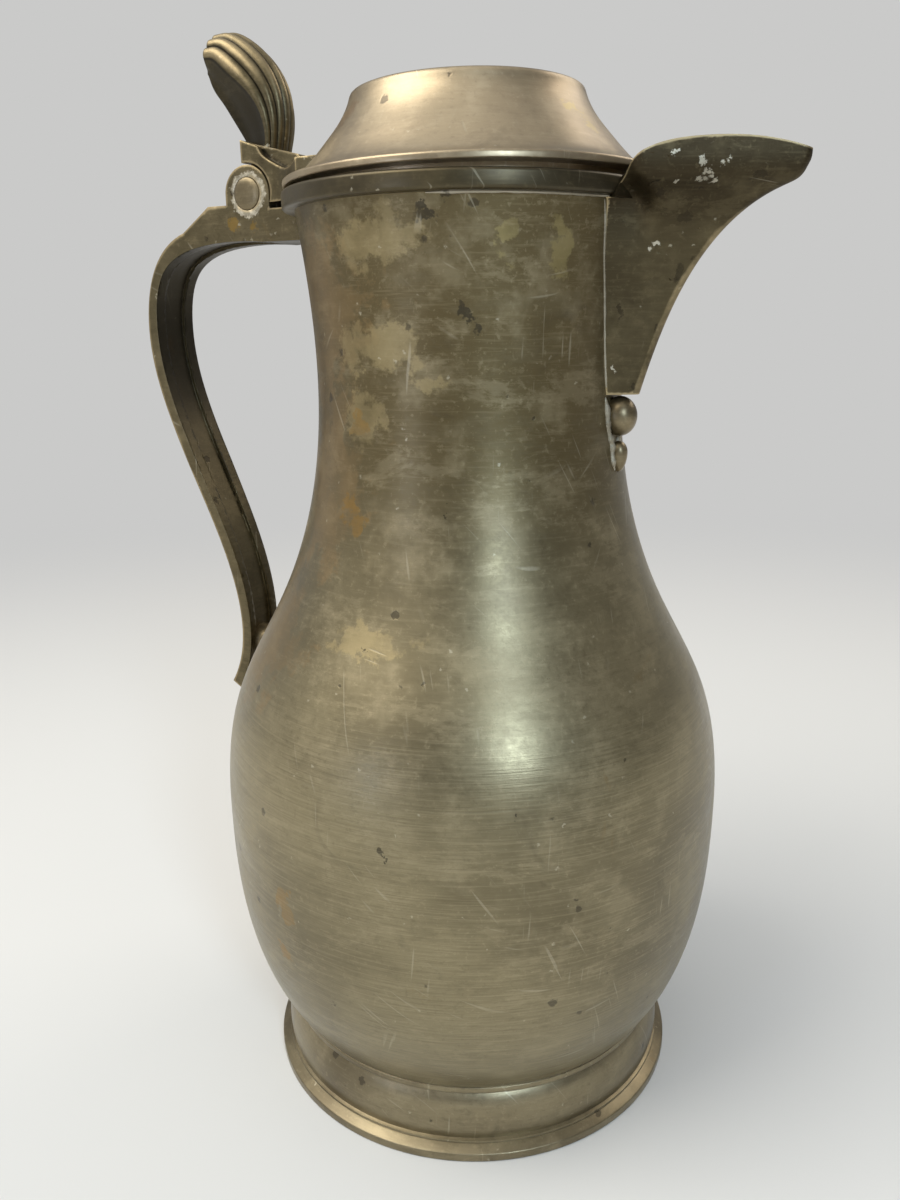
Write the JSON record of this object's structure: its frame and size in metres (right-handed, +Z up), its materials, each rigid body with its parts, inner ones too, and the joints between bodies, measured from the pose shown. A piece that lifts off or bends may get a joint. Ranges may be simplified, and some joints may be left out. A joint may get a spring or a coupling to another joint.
{
  "type": "lidded pitcher",
  "caption": "Footed metal flagon with a baluster body, beak spout, strap handle and a hinged bell-shaped lid with a fluted shell thumbpiece.",
  "frame": {"origin": "on the axis of the turned body, in the plane of the ring that the foot stands on", "axes": "+Z up along the body's axis, +X towards the spout, so the handle and the hinge are at -X; +Y is to the left of someone who looks along +X"},
  "size_m": [0.1881, 0.141, 0.2919],
  "materials": {
    "aged_pewter": "aged satin pewter with a brownish patina",
    "lid_pewter": "aged satin pewter, warmer and a little brighter",
    "dark_pewter": "dull dark pewter",
    "handle_pewter": "aged pewter, worn bright on its edges",
    "bead_pewter": "smooth rubbed pewter"
  },
  "bodies": {
    "pitcher_body": {"foot_ring": "aged_pewter", "base_disc": "aged_pewter", "belly_shell": "aged_pewter", "neck_shell": "aged_pewter", "mouth_band": "aged_pewter", "spout": "dark_pewter", "spout_ball": "bead_pewter", "spout_drop": "bead_pewter", "handle": "handle_pewter", "handle_strut": "handle_pewter", "hinge_pin": "bead_pewter"},
    "lid": {"lid_cover": "lid_pewter", "lid_bezel": "lid_pewter", "lid_arm": "handle_pewter", "thumbpiece": "handle_pewter"}
  },
  "joints": [
    {"name": "lid_hinge", "type": "hinge", "parent": "pitcher_body", "child": "lid", "pos_m": [-0.0645, 0, 0.2492], "axis": [0, -1, 0], "range_deg": [0, 86]}
  ]
}
